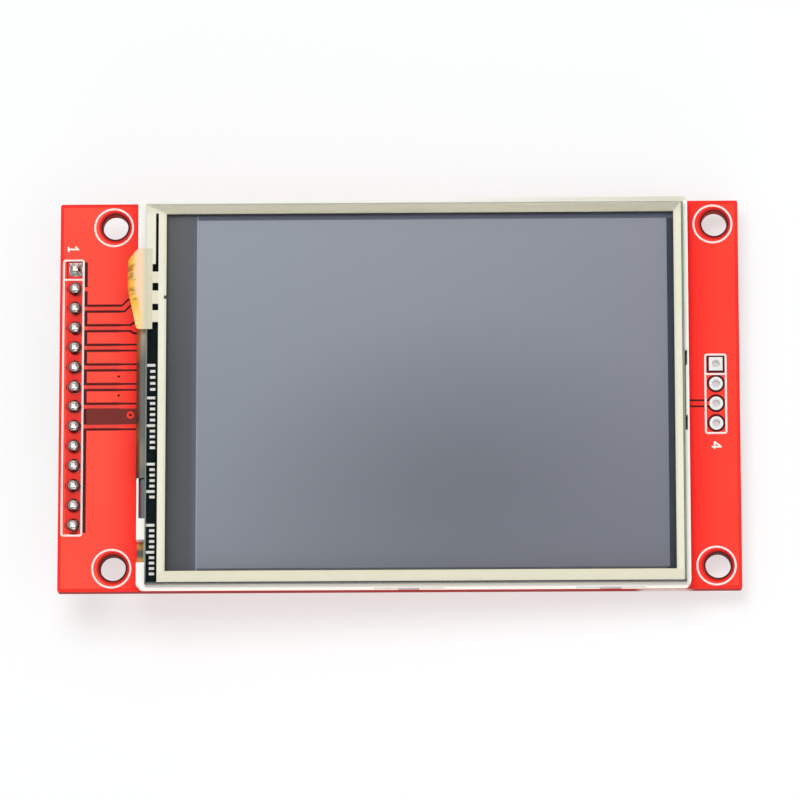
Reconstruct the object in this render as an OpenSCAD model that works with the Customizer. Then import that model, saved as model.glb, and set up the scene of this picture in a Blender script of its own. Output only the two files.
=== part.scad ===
/* [Board] */
// Length of the circuit board along X
board_l = 86; // [86:0.5:96]
// Width of the circuit board along Y
board_w = 50; // [50:0.5:60]
// Thickness of the circuit board
board_t = 1.6; // [1.4:0.1:2]
// Radius of the circuit board's corners
board_corner_r = 0.3; // [0.1:0.1:1]
// Spacing of the mounting holes along X
hole_pitch_x = 76; // [76:0.5:80]
// Spacing of the mounting holes along Y
hole_pitch_y = 44; // [43:0.5:45]
// Diameter of the mounting holes
hole_d = 3.2; // [3:0.1:3.4]
// Distance from the right-hand holes to the right edge of the board
hole_edge = 3; // [2.8:0.1:4]
// Height of the copper and its lacquer above the bare laminate
copper_t = 0.04; // [0.03:0.01:0.08]
// Distance from the board's edge to its copper
copper_inset = 0.4; // [0.3:0.1:0.6]
// Width of a trace between the header and the display
trace_w = 0.52; // [0.4:0.02:0.6]
// Width of the bare gap on each side of a trace
trace_gap = 0.25; // [0.15:0.05:0.3]

/* [Pin header] */
// Number of pins in the row
header_n = 14; // [10:1:14]
// Distance between neighbouring pins and pads
pitch = 2.54; // [2.54]
// Distance from the board's left edge to the pin row
header_edge = 2; // [1.8:0.1:2.2]
// Side of a square pin
pin_w = 0.64; // [0.6:0.02:0.66]
// Length of a pin below the plastic strip
pin_reach = 6; // [5:0.5:9]
// Height of a pin's tip above the board
pin_rise = 1.25; // [1.1:0.05:1.6]
// Height of the plastic strip
strip_h = 2.5; // [2.3:0.1:2.6]

/* [Display] */
// Length of the display unit along X
display_l = 69.5; // [69.5:0.1:70]
// Width of the display unit along Y
display_w = 50; // [49.8:0.1:50.2]
// Distance from the board's left edge to the display unit
display_edge = 10.05; // [10:0.05:10.2]
// Thickness of the tape under the display
tape_t = 0.2; // [0.2]
// Thickness of each glass of the display
glass_t = 0.4; // [0.4]
// Length of the light area of the screen along X
view_l = 59.4; // [58:0.1:60]
// Width of the light area of the screen along Y
view_w = 45; // [44:0.1:45.2]

/* [Touch panel] */
// Length of the touch panel along X
touch_l = 67.85; // [67.6:0.05:68]
// Width of the touch panel along Y
touch_w = 48.7; // [48.4:0.1:48.8]
// Thickness of the touch panel's glass
touch_glass_t = 0.7; // [0.5:0.1:1.1]
// Thickness of the touch panel's upper film
touch_film_t = 0.2; // [0.15:0.05:0.25]

/* [Card socket] */
// Outer width of the memory card socket along X
socket_w = 28; // [28:0.2:29]
// Depth of the memory card socket along Y
socket_d = 27; // [26:0.5:28]
// Height of the memory card socket
socket_h = 2.9; // [2.8:0.1:3.2]

/* [Hidden] */

// The origin is the centre of the mounting-hole pattern, on the back face of the board.
board_x1 = hole_pitch_x / 2 + hole_edge;
board_x0 = board_x1 - board_l;
half_w = board_w / 2;
holes = [for (x = [-1, 1], y = [-1, 1]) [x * hole_pitch_x / 2, y * hole_pitch_y / 2]];
hole_clear_r = hole_d / 2 + 0.48;

// Pin header and card header pads
header_x = board_x0 + header_edge;
header_span = (header_n - 1) * pitch;
header_y = [for (i = [0:header_n - 1]) header_span / 2 - i * pitch];
card_pads_x = hole_pitch_x / 2;
card_pads_y = [for (i = [0:3]) (1.5 - i) * pitch];
plated_bore_r = 0.5;
barrel_r = 0.6;
header_pad_r = 0.85;
card_pad_r = 0.86;
pad_rise = 0.02;
pad_clear = 0.3;
silk_t = 0.02;
silk_line = 0.24;
silk_r = 0.35;
silk_shift = [-0.2, -0.05];

// Display stack, from the board upwards
display_x0 = board_x0 + display_edge;
display_x1 = display_x0 + display_l;
display_y1 = display_w / 2;
sheet_t = 0.1;
guide_t = 0.5;
polarizer_t = 0.15;
z_display = board_t + tape_t;
tray_t = 0.2;
z_frame = z_display + tray_t;
z_guide = z_frame + sheet_t;
z_diffuser = z_guide + guide_t;
z_shade = z_diffuser + 3 * sheet_t;
z_rear_polarizer = z_shade + sheet_t;
z_glass = z_rear_polarizer + polarizer_t;
z_ledge = z_glass + glass_t;
z_front_polarizer = z_ledge + glass_t;
z_rim = z_front_polarizer + polarizer_t;
rim_wall = 0.9;
end_wall = 0.8;
sheet_wall = 1.4;
corner_r = 0.8;
glass_slack = 0.15;
sheet_x1 = display_x1 - sheet_wall - 0.1;
sheet_y1 = display_y1 - sheet_wall - 0.1;

// Left end of the display, where the flexible tails leave it
thin_wall = 0.25;
ledge_gap = 0.85;
glass_x0 = display_x0 + ledge_gap;
glass_x1 = display_x1 - end_wall - glass_slack;
glass_y1 = display_y1 - rim_wall - glass_slack;
filter_x0 = glass_x0 + 3.95;
led_x = display_x0 + 1.65;
led_l = 0.8;
guide_x0 = led_x + led_l + 0.1;
sill_x0 = glass_x0 - 0.05;
sill_w = 0.55;
flex_gap_y = [-11, 18.4];
block_y = [-18.8, -16.1];
tail_gap_y = [-21.7, -18.8];
hook_w = 1.05;
corner_hook_w = 1.95;

// Clips in the long sides, and the pockets and thin wall of the right-hand side
clip_x = [-0.8, 24.5];
clip_w = 8.8;
clip_tab_w = 2.7;
clip_depth = 0.25;
clip_h = 1.2;
pocket_y = [-5.15, 5.1];
pocket_w = 1.9;
pocket_wall = 0.2;
recess_wall = 0.4;

// Screen and touch panel
view_x0 = display_x0 + 7.45;
view_y0 = -22.54;
touch_x0 = display_x0 + 1.1;
touch_x1 = touch_x0 + touch_l;
touch_y = [-touch_w / 2 - 0.25, touch_w / 2 - 0.25];
touch_adhesive_t = 0.2;
border_t = 0.1;
ledge_tape_t = 0.05;
z_touch_glass = z_rim + touch_adhesive_t;
z_border = z_touch_glass + touch_glass_t;
z_film = z_border + border_t;
window = [[touch_x0 + 2.55, -23], [touch_x1 - 1.25, 22.85]];
border_inset = [0.28, 0.22];
window_bar = 1;
slot_x = [touch_x0 + 1.2, touch_x0 + 1.55];
slot_y = [16.3, 22.95];
finger_x0 = touch_x0 + 0.8;
fingers_y = [[8.9, 10.4], [11.25, 12.95], [13.95, 15.4]];
finger_top_y = 16.4;

// Flexible tails: each is a bent strip, given by its thickness, bend and the heights it joins
flex_t = 0.12;
flex_y = [-11, 8.3];
flex_bend_x = glass_x0;
flex_end_x = -20;
flex_pads_n = 18;
flex_pad_pitch = 0.8;
touch_flex_t = 0.1;
touch_flex_y = [8, 18.4];
touch_neck_y = [13.9, 16.7];
touch_bend_r = (z_border + touch_flex_t - board_t) / 2;
touch_bend_x = board_x0 + 8.7 + touch_bend_r;
touch_flex_end_x = display_x0 + 7;
tail_t = 0.1;
tail_end_x = display_x0 + 5;

// Memory card socket, under the right-hand half of the board
socket_x = 19;
socket_y1 = 24;
socket_y0 = socket_y1 - socket_d;
shell_t = 0.25;
cover_bend = 0.5;
card_w = 24.4;
base_h = socket_h - shell_t;
rear_block_d = 4.5;
floor_t = 0.35;
floor_d = 13;
contact_n = 9;
contact_pitch = 2.5;
contact_w = 1.2;
contact_t = 0.2;
contact_root_h = 0.6;
peg_d = 1.5;
peg_x = 10;
socket_feet_y = [socket_y0 + 3, socket_y1 - 3];
foot_l = 1.2;
foot_w = 1.8;

// Small parts on the back face: [x, y, turn]
controller_at = [-22, -8, 0];
regulator_at = [-34, 13, 0];
transistor_at = [-33.5, 1, 0];
resistors_at = [
    [-28, 1, 90], [-25.5, 1, 90], [-23, 1, 90], [-20.5, 1, 90],
    [-12, -4, 0], [-12, -6.5, 0], [-12, -9, 0], [-12, -11.5, 0]
];
capacitors_at = [[-34, 17.5, 0], [-34, 8.5, 0], [-22, -12.6, 0], [-28.5, 13, 90]];
chip_l = 1.6;
chip_w = 0.8;
chip_cap = 0.3;
resistor_h = 0.45;
capacitor_h = 0.8;
fillet = 0.35;
lead_gap = 0.1;
controller_l = 4.4;
controller_w = 5;
controller_h = 0.95;
controller_toe = 3.2;
controller_pitch = 0.65;
controller_leads = [for (s = [-1, 1], i = [0:7]) [s, (3.5 - i) * controller_pitch]];
sot_l = 1.3;
sot_w = 2.9;
sot_h = 1;
sot_toe = 1.2;
sot_leads = [[-1, 0.95], [-1, -0.95], [1, 0]];

// Places left bare on the back: the pads of an eight-lead chip, and a pair to link with solder
bare_chip_at = [-8, 12, 0];
bare_chip_toe = 3;
bare_chip_leads = [for (s = [-1, 1], i = [0:3]) [s, (1.5 - i) * 1.27]];
link_at = [-20.5, 13, 0];

// --- Helpers -------------------------------------------------------------------------------

function unit(v) = v / norm(v);
function across(v) = [-v[1], v[0]];

// The offset direction at point i of a path, long enough to keep a stroke's width at a bend
function miter(path, i) =
    let (a = unit(i > 0 ? path[i] - path[i - 1] : path[1] - path[0]))
    let (b = i < len(path) - 1 ? unit(path[i + 1] - path[i]) : a)
    let (m = unit(across(a) + across(b)))
    m / (m * across(a));

// A path drawn as a line of the given width, with mitred bends
module stroke(path, width)
    polygon(concat(
        [for (i = [0:len(path) - 1]) path[i] + miter(path, i) * width / 2],
        [for (i = [len(path) - 1:-1:0]) path[i] - miter(path, i) * width / 2]
    ));

// A rectangle between two corners
module span(a, b) translate(a) square(b - a);

module rounded_span(a, b, r) {
    span(a + [r, 0], b - [r, 0]);
    span(a + [0, r], b - [0, r]);
    for (x = [a[0] + r, b[0] - r], y = [a[1] + r, b[1] - r])
        translate([x, y]) circle(r, $fn = 32);
}

// A rounded rectangle drawn as a line inside its two corners
module ring(a, b, line, r)
    difference() {
        rounded_span(a, b, r);
        rounded_span(a + [line, line], b - [line, line], r - line);
    }

module slab(z, h) translate([0, 0, z]) linear_extrude(h) children();

// A 2D outline in X and Z, drawn out along Y between two values
module along_y(y) translate([0, y[1], 0]) rotate([90, 0, 0]) linear_extrude(y[1] - y[0]) children();

// A 2D outline in Y and Z, drawn out along X between two values
module along_x(x) translate([x[0], 0, 0]) rotate([90, 0, 90]) linear_extrude(x[1] - x[0]) children();

// A strip folded in a half circle to the left: its upper run ends at x_top, its lower at x_end
module folded_strip(bend_x, z_low, z_high, t, x_top, x_end) {
    r = (z_high - z_low) / 2;
    translate([bend_x, z_low + r])
        difference() {
            circle(r, $fn = 64);
            circle(r - t, $fn = 64);
            translate([0, -r]) square(2 * r);
        }
    span([bend_x, z_high - t], [x_top, z_high]);
    span([bend_x, z_low], [x_end, z_low + t]);
}

// Places a 2D outline, or a part that stands on its pads, on the back face at [x, y, turn]
module turned(at) translate([at[0], at[1]]) rotate(at[2]) children();
module below(at) translate([0, 0, -pad_rise]) mirror([0, 0, 1]) turned(at) children();

// --- Circuit board -------------------------------------------------------------------------

module pads_plan(xs, ys, r) {
    translate([xs - r, ys[0] - r]) square(2 * r);
    for (i = [1:len(ys) - 1])
        translate([xs, ys[i]]) circle(r, $fn = 48);
}

module all_pads_plan(grow = 0) {
    pads_plan(header_x, header_y, header_pad_r + grow);
    pads_plan(card_pads_x, card_pads_y, card_pad_r + grow);
}

// Traces from the header to the display, as centre lines
trace_end_x = display_x0 + 2;
jog_x = display_x0 - 2;
jog = 0.75;
front_traces = concat(
    [[
        [header_x, header_y[2]], [jog_x, header_y[2]],
        [jog_x + jog, header_y[2] + jog], [trace_end_x, header_y[2] + jog]
    ]],
    [for (i = [3:8]) [[header_x, header_y[i]], [trace_end_x, header_y[i]]]],
    [[[card_pads_x, card_pads_y[2]], [display_x1 - 2, card_pads_y[2]]]]
);
ground_link = [[header_x, header_y[1]], [header_x + 2, header_y[1]]];
keepout = [[header_x - 1.05, -header_span / 2 - 0.95], [header_x + 1.5, header_span / 2 + 0.95]];
bare_band = [[keepout[1][0], header_y[8]], [trace_end_x, header_y[7]]];
big_via = [display_x0 - 1, header_y[7] - 1.1];
small_vias = [[display_x0 - 2.5, header_y[5] - 1.2], [display_x0 - 2.5, header_y[6] - 1.1]];
flare_at = [display_x0 - 0.45, header_y[3]];

module front_copper_plan() {
    difference() {
        span([board_x0 + copper_inset, copper_inset - half_w],
             [board_x1 - copper_inset, half_w - copper_inset]);
        for (p = holes) translate(p) circle(hole_clear_r, $fn = 64);
        all_pads_plan(pad_clear);
        span(keepout[0], keepout[1]);
        span(bare_band[0], bare_band[1]);
        for (t = front_traces) stroke(t, trace_w + 2 * trace_gap);
        translate(flare_at) circle(0.85, $fn = 32);
    }
    difference() {
        union() {
            for (t = front_traces) stroke(t, trace_w);
            stroke(ground_link, trace_w);
            translate(flare_at) circle(0.55, $fn = 32);
            translate(big_via) circle(0.48, $fn = 32);
        }
        all_pads_plan();
    }
}

// Traces on the back: from the header to the touch controller, and from the card pads to the
// card socket
back_trace_w = 0.3;
back_trace_gap = 0.16;
controller_pad_x = controller_at[0] - controller_toe;
fan_x = controller_pad_x - 1.8;
lane = 0.6;
socket_lane_y = socket_y0 - 3;

function fan_trace(pin, lead) =
    let (y = controller_at[1] + controller_leads[lead][1], rise = abs(y - header_y[pin]))
    [[header_x, header_y[pin]], [fan_x - rise, header_y[pin]], [fan_x, y], [controller_pad_x, y]];

function card_trace(pad, contact) =
    let (x = socket_x + contact_x(contact), turn_x = card_pads_x - 2.6 + pad * 0.45)
    let (y = socket_lane_y - (3 - pad) * lane)
    [
        [card_pads_x, card_pads_y[pad]], [turn_x, card_pads_y[pad]], [turn_x, y + lane],
        [turn_x - lane, y], [x, y], [x, socket_y0 - 1.5]
    ];

back_traces = concat(
    [for (i = [0:4]) fan_trace(9 + i, 1 + i)],
    [for (i = [0:3]) card_trace(i, 1 + 2 * i)]
);

module chip_pads_plan(grow)
    for (s = [-1, 1]) translate([s * (chip_l / 2 + 0.05), 0])
        square([0.9 + 2 * grow, 0.95 + 2 * grow], center = true);

module lead_pads_plan(leads, toe, l, w, grow)
    for (p = leads) translate([p[0] * (toe + fillet - l / 2 + 0.1), p[1]])
        square([l + 2 * grow, w + 2 * grow], center = true);

module socket_pads_plan(grow)
    translate([socket_x, 0]) {
        for (i = [0:contact_n - 1]) translate([contact_x(i), socket_y0 - 1.1])
            square([1.3 + 2 * grow, 1.8 + 2 * grow], center = true);
        for (s = [-1, 1], y = socket_feet_y) translate([s * (socket_w / 2 + 0.85), y])
            square([1.9 + 2 * grow, 2 + 2 * grow], center = true);
    }

module back_pads_plan(grow = 0) {
    for (p = concat(resistors_at, capacitors_at)) turned(p) chip_pads_plan(grow);
    for (p = [regulator_at, transistor_at]) turned(p)
        lead_pads_plan(sot_leads, sot_toe, 1.1, 0.7, grow);
    turned(controller_at) lead_pads_plan(controller_leads, controller_toe, 1.4, 0.36, grow);
    turned(bare_chip_at) lead_pads_plan(bare_chip_leads, bare_chip_toe, 1.6, 0.6, grow);
    turned(link_at) for (s = [-1, 1]) translate([s * 0.75, 0])
        square([1.1 + 2 * grow, 1.6 + 2 * grow], center = true);
    socket_pads_plan(grow);
}

module back_copper_plan() {
    difference() {
        span([board_x0 + copper_inset, copper_inset - half_w],
             [board_x1 - copper_inset, half_w - copper_inset]);
        for (p = holes) translate(p) circle(hole_clear_r, $fn = 64);
        all_pads_plan(pad_clear);
        back_pads_plan(back_trace_gap);
        for (s = [-1, 1]) translate([socket_x + s * peg_x, socket_y0 + 2]) circle(peg_d, $fn = 32);
        for (t = back_traces) stroke(t, back_trace_w + 2 * back_trace_gap);
    }
    difference() {
        for (t = back_traces) stroke(t, back_trace_w);
        all_pads_plan();
        back_pads_plan();
    }
}

module drill(p, r) translate([p[0], p[1], -1]) cylinder(h = board_t + 2, r = r, $fn = 48);

module circuit_board()
    color("red") difference() {
        union() {
            slab(copper_t, board_t - 2 * copper_t)
                rounded_span([board_x0, -half_w], [board_x1, half_w], board_corner_r);
            slab(board_t - copper_t, copper_t) front_copper_plan();
            slab(0, copper_t) back_copper_plan();
        }
        for (p = holes) drill(p, hole_d / 2);
        for (y = header_y) drill([header_x, y], barrel_r);
        for (y = card_pads_y) drill([card_pads_x, y], barrel_r);
        for (s = [-1, 1]) drill([socket_x + s * peg_x, socket_y0 + 2], peg_d / 2);
        drill(big_via, 0.18);
        for (p = small_vias) drill(p, 0.15);
    }

// One square or round pad on each face, joined by a plated barrel
module plated_pad(p, r, round)
    translate([p[0], p[1], 0]) difference() {
        union() {
            cylinder(h = board_t, r = barrel_r, $fn = 48);
            for (z = [-pad_rise, board_t - copper_t]) slab(z, copper_t + pad_rise)
                if (round) circle(r, $fn = 48);
                else square(2 * r, center = true);
        }
        translate([0, 0, -1]) cylinder(h = board_t + 2, r = plated_bore_r, $fn = 48);
    }

module plated_pads()
    color("silver") {
        for (i = [0:header_n - 1]) plated_pad([header_x, header_y[i]], header_pad_r, i > 0);
        for (i = [0:3]) plated_pad([card_pads_x, card_pads_y[i]], card_pad_r, i > 0);
        slab(-pad_rise, copper_t + pad_rise) back_pads_plan();
    }

// White ink on the front: a ring round each mounting hole and a box round each row of pads
module pads_box(x0, x1, ys) {
    ring([x0, ys[len(ys) - 1] - 1.36], [x1, ys[0] + 1.36], silk_line, silk_r);
    divider = (ys[0] + ys[1]) / 2;
    span([x0, divider - silk_line / 2], [x1, divider + silk_line / 2]);
}

module silk_plan()
    translate(silk_shift) {
        for (p = holes) translate(p) difference() {
            circle(hole_d / 2 + 0.93, $fn = 64);
            circle(hole_d / 2 + 0.93 - silk_line, $fn = 64);
        }
        pads_box(header_x - 1.45, header_x + 1.3, header_y);
        pads_box(card_pads_x - 1.25, card_pads_x + 1.57, card_pads_y);
    }

// A pair of lines beside a part's two free sides, and a dot at its first lead
module part_marks(l, w, dot) {
    for (s = [-1, 1]) translate([0, s * (w / 2 + 0.3)]) square([l, 0.2], center = true);
    translate(dot) circle(0.25, $fn = 24);
}

module back_silk_plan()
    difference() {
        union() {
            pads_box(header_x - 1.7, header_x + 1.7, header_y);
            pads_box(card_pads_x - 1.4, card_pads_x + 1.4, card_pads_y);
            turned(controller_at)
                part_marks(controller_l, controller_w, [-controller_l / 2 - 0.5, controller_w / 2 + 0.6]);
            turned(bare_chip_at) part_marks(3.8, 5, [-2.9, 2.9]);
            turned(link_at) ring([-1.7, -1.2], [1.7, 1.2], 0.2, silk_r);
            for (p = [regulator_at, transistor_at]) turned(p)
                part_marks(1.3, 3.2, [-1.7, 1.9]);
        }
        back_pads_plan(0.1);
        all_pads_plan(0.1);
    }

// The ink lies on the copper, and fills down to the laminate beside it
module silkscreen()
    color("white") {
        slab(board_t, silk_t) silk_plan();
        slab(board_t - copper_t, copper_t) difference() {
            silk_plan();
            front_copper_plan();
        }
        slab(-silk_t, silk_t) back_silk_plan();
        slab(0, copper_t) difference() {
            back_silk_plan();
            back_copper_plan();
        }
    }

// --- Pin header ----------------------------------------------------------------------------

cell_w = 2.5;
cell_notch = 0.45;

// The strip's outline: one cell a pin, with a notch between neighbours on both sides
function strip_side(s) = [
    for (i = [0:header_n - 1], p = [[0, 0.5], [1, 0.5 - 0.18], [1, 0.18 - 0.5], [0, -0.5]])
        [s * (cell_w / 2 - (1 - p[0]) * cell_notch), header_y[i] + p[1] * pitch]
];

module header_strip()
    color("dimgray") difference() {
        slab(-pad_rise - strip_h, strip_h) translate([header_x, 0])
            polygon(concat(strip_side(1), [for (i = [len(strip_side(1)) - 1:-1:0]) strip_side(-1)[i]]));
        for (y = header_y) translate([header_x, y, -strip_h])
            cube([pin_w, pin_w, 3 * strip_h], center = true);
    }

// A pin's side view, with both ends tapered
module pin_side(taper) {
    low = -pad_rise - strip_h - pin_reach;
    high = board_t + pin_rise;
    h = pin_w / 2;
    polygon([
        [-h + taper, low], [h - taper, low], [h, low + 3 * taper], [h, high - taper],
        [h - taper, high], [-h + taper, high], [-h, high - taper], [-h, low + 3 * taper]
    ]);
}

module header_pins()
    color("gold") for (y = header_y) translate([header_x, y, 0]) intersection() {
        along_y([-pin_w, pin_w]) pin_side(0.16);
        along_x([-pin_w, pin_w]) pin_side(0.16);
    }

// Half of a solder joint's section: a dome on the pad above a filled barrel
solder_h = 0.98;
solder_steps = 7;

module solder_section()
    polygon(concat(
        [[0, 0], [plated_bore_r, 0], [plated_bore_r, board_t + pad_rise]],
        [for (i = [0:solder_steps]) let (a = 78 * i / solder_steps) [
            (header_pad_r - 0.03) * cos(a), board_t + pad_rise + solder_h * sin(a)
        ]],
        [[0, board_t + pad_rise + solder_h * sin(78)]]
    ));

module header_solder()
    color("lightgray") for (y = header_y) translate([header_x, y, 0]) difference() {
        rotate_extrude($fn = 48) solder_section();
        cube([pin_w, pin_w, 20], center = true);
    }

// --- Display -------------------------------------------------------------------------------

// The foam tape leaves the left-hand end free for the tails that fold under the display
module display_tape()
    color("lightgray") slab(board_t, tape_t) {
        span([-18, -display_y1 + 1], [display_x1 - 1, display_y1 - 1]);
        for (y = [[-display_y1 + 1, tail_gap_y[0] - 0.6], [19, display_y1 - 1]])
            span([display_x0 + 1.4, y[0]], [-18, y[1]]);
    }

module mirrored_y() {
    children();
    mirror([0, 1, 0]) children();
}

// A sprung tab bent up from the tray's edge, seen from its end
module tray_tab_section() {
    y = display_y1 - tray_t;
    bend = 0.4;
    difference() {
        span([y - 1, z_display], [display_y1, z_display + bend]);
        span([y - 1, z_display + tray_t], [y, z_display + bend]);
        difference() {
            span([display_y1 - bend, z_display], [display_y1, z_display + bend]);
            translate([display_y1 - bend, z_display + bend]) circle(bend, $fn = 32);
        }
    }
    span([y, z_display + bend], [display_y1, z_frame + clip_h]);
}

module rear_tray()
    color("gainsboro") {
        slab(z_display, tray_t) rounded_span(
            [glass_x0, -display_y1 + 0.5], [display_x1 - 0.3, display_y1 - 0.5], corner_r);
        for (x = clip_x) mirrored_y()
            along_x([x - clip_tab_w / 2, x + clip_tab_w / 2]) tray_tab_section();
    }

// Walls of the frame at one level: the outline less the pocket
module frame_level(z, h, wall, end, left)
    slab(z, h) difference() {
        rounded_span([display_x0, -display_y1], [display_x1, display_y1], corner_r);
        span([display_x0 + left, -display_y1 + wall], [display_x1 - end, display_y1 - wall]);
    }

module clip_recess(x)
    translate([x, display_y1, 0]) {
        translate([-clip_w / 2, -clip_depth, z_ledge - 0.75])
            cube([clip_w, 1, 0.75]);
        translate([-clip_tab_w / 2, -clip_depth, z_display])
            cube([clip_tab_w, 1, clip_h + 2 * tray_t]);
    }

module backlight_frame()
    color("white") difference() {
        union() {
            difference() {
                union() {
                    frame_level(z_frame, z_glass - z_frame, sheet_wall, sheet_wall, thin_wall);
                    frame_level(z_glass, z_rim - z_glass, rim_wall, end_wall, thin_wall);
                }
                for (y = [flex_gap_y, tail_gap_y]) translate([display_x0 - 1, y[0], 0])
                    cube([2, y[1] - y[0], 10]);
            }
            // Inner sill under the glass ledge, behind the folded tails
            slab(z_frame, z_glass - z_frame)
                span([sill_x0, block_y[0]], [sill_x0 + sill_w, display_y1 - 1]);
            // Hooks over the glass ledge
            slab(z_ledge, z_rim - z_ledge) {
                span([display_x0, block_y[0]], [display_x0 + hook_w, block_y[1]]);
                span([display_x0, flex_gap_y[1]], [display_x0 + corner_hook_w, display_y1 - 0.5]);
                span([display_x0, -display_y1 + 0.5], [display_x0 + hook_w, tail_gap_y[0]]);
            }
            slab(z_frame, z_rim - z_frame) {
                span([display_x0, block_y[0]], [sill_x0, block_y[1]]);
                span([display_x0, flex_gap_y[1]], [sill_x0, display_y1 - 0.5]);
                span([display_x0, -display_y1 + 0.5], [sill_x0, tail_gap_y[0]]);
            }
        }
        for (x = clip_x) mirrored_y() clip_recess(x);
        // Two pockets in the right-hand wall, and the recess between them
        slab(z_shade, 5) {
            for (y = [pocket_y[0], pocket_y[1] - pocket_w])
                span([sheet_x1, y], [display_x1 - pocket_wall, y + pocket_w]);
            span([sheet_x1, pocket_y[0]], [display_x1 - recess_wall, pocket_y[1]]);
        }
    }

// One sheet of the backlight, from x0 to the right-hand wall
module light_sheet(z, t, x0)
    slab(z, t) span([x0, -sheet_y1], [sheet_x1, sheet_y1]);

module reflector_sheet() color("whitesmoke") light_sheet(z_frame, sheet_t, guide_x0);

led_y = [for (i = [0:3]) (1.5 - i) * 11];

// The guide has a notch for each light
module light_guide()
    color("aliceblue") difference() {
        light_sheet(z_guide, guide_t, guide_x0 - 0.1);
        for (y = led_y) translate([guide_x0 - 1, y - 1.9, z_guide - 1]) cube([1, 3.8, 3]);
    }

module backlight_leds()
    color("khaki") for (y = led_y)
        translate([led_x, y - 1.8, z_guide]) cube([led_l, 3.6, guide_t]);

// Strip under the lights, with a tail that leaves through the frame and folds to the board
module backlight_flex()
    color("darkolivegreen") {
        slab(z_frame, tail_t) {
            span([led_x - 0.3, -20.5], [guide_x0 - 0.05, 21]);
            span([led_x - 0.3, tail_gap_y[0] + 0.15], [led_x + 0.4, -20]);
        }
        along_y([tail_gap_y[0] + 0.15, tail_gap_y[1] - 0.15])
            folded_strip(display_x0 + 0.2, board_t, z_frame + tail_t, tail_t,
                         led_x - 0.2, tail_end_x);
    }

module diffuser_sheet() color("white") light_sheet(z_diffuser, sheet_t, guide_x0);
module lower_prism_sheet() color("lightgray") light_sheet(z_diffuser + sheet_t, sheet_t, guide_x0);
module upper_prism_sheet()
    color("silver") light_sheet(z_diffuser + 2 * sheet_t, sheet_t, guide_x0);

// Black tape round the light area, with a lug that lines the pockets in the right-hand wall
module shade_tape()
    color("black") slab(z_shade, sheet_t) {
        difference() {
            span([led_x - 0.3, -sheet_y1], [sheet_x1, sheet_y1]);
            span([view_x0 + 0.6, view_y0 + 0.6], [view_x0 + view_l - 0.6, view_y0 + view_w - 0.6]);
        }
        span([sheet_x1 - 0.1, pocket_y[0] + 0.05], [display_x1 - recess_wall - 0.05, pocket_y[1] - 0.05]);
        for (y = [pocket_y[0], pocket_y[1] - pocket_w])
            span([sheet_x1, y + 0.05], [display_x1 - pocket_wall - 0.05, y + pocket_w - 0.05]);
    }

module rear_polarizer()
    color("darkslategray") slab(z_rear_polarizer, polarizer_t)
        span([filter_x0 + 0.5, -glass_y1 + 0.8], [glass_x1 - 0.5, glass_y1 - 0.8]);

module transistor_glass()
    color("lightsteelblue") slab(z_glass, glass_t)
        span([glass_x0, -glass_y1], [glass_x1, glass_y1]);

module filter_glass()
    color("slategray") slab(z_ledge, glass_t)
        span([filter_x0, -glass_y1], [glass_x1, glass_y1]);

module front_polarizer()
    color("lightslategray") slab(z_front_polarizer, polarizer_t)
        span([filter_x0 + 0.3, -glass_y1 + 0.3], [glass_x1 - 0.3, glass_y1 - 0.3]);

module driver_chip()
    color("dimgray") slab(z_ledge, 0.35) span([glass_x0 + 2.2, -8], [glass_x0 + 3.4, 8]);

// A bead over the joint between the ledge and the display's tail, seen from its end
module bead_section() {
    r = (z_ledge + flex_t - board_t) / 2;
    difference() {
        translate([flex_bend_x + 0.05, z_ledge - 0.2]) circle(0.66, $fn = 48);
        translate([flex_bend_x, board_t + r]) circle(r, $fn = 64);
        span([flex_bend_x, z_ledge - 1], [flex_bend_x + 2, z_ledge + flex_t]);
        span([flex_bend_x - 2, z_ledge - 1], [flex_bend_x + 2, z_ledge - 0.1]);
    }
}

// The same bead beside the tail, where it covers the ledge's bare edge
module edge_bead_section()
    difference() {
        translate([glass_x0 + 0.05, z_ledge - 0.1]) circle(0.44, $fn = 48);
        span([glass_x0, z_ledge - 1], [glass_x0 + 2, z_ledge]);
        span([sill_x0, z_ledge - 1], [sill_x0 + 2, z_glass]);
    }

module ledge_sealant()
    color("darkseagreen") {
        along_y([flex_y[0] + 0.1, flex_y[1] - 0.1]) bead_section();
        along_y([block_y[1] + 0.1, flex_y[0] - 0.1]) edge_bead_section();
    }

module ledge_tape_plan()
    span([touch_x0, touch_y[0] + 0.1], [view_x0, touch_y[1] - 1.3]);

module ledge_tape() color("black") slab(z_rim, ledge_tape_t) ledge_tape_plan();

module display_flex()
    color("saddlebrown") along_y(flex_y)
        folded_strip(flex_bend_x, board_t, z_ledge + flex_t, flex_t, glass_x0 + 1.1, flex_end_x);

module flex_solder()
    color("silver") slab(board_t + flex_t, 0.06)
        for (i = [0:flex_pads_n - 1]) {
            y = (flex_y[0] + flex_y[1]) / 2 + (i - (flex_pads_n - 1) / 2) * flex_pad_pitch;
            span([flex_end_x - 2, y - 0.2], [flex_end_x - 0.1, y + 0.2]);
        }

// --- Touch panel ---------------------------------------------------------------------------

module touch_outline() span([touch_x0, touch_y[0]], [touch_x1, touch_y[1]]);

module touch_adhesive()
    color("ivory") difference() {
        slab(z_rim, touch_adhesive_t) difference() {
            span([slot_x[1], touch_y[0] + 0.1], [touch_x1 - 0.1, touch_y[1] - 0.1]);
            span(window[0] + [0, 0.1], window[1] - [0, 0.1]);
        }
        slab(z_rim - 1, 1 + ledge_tape_t) ledge_tape_plan();
    }

module touch_glass() color("azure", 0.4) slab(z_touch_glass, touch_glass_t) touch_outline();

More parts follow.
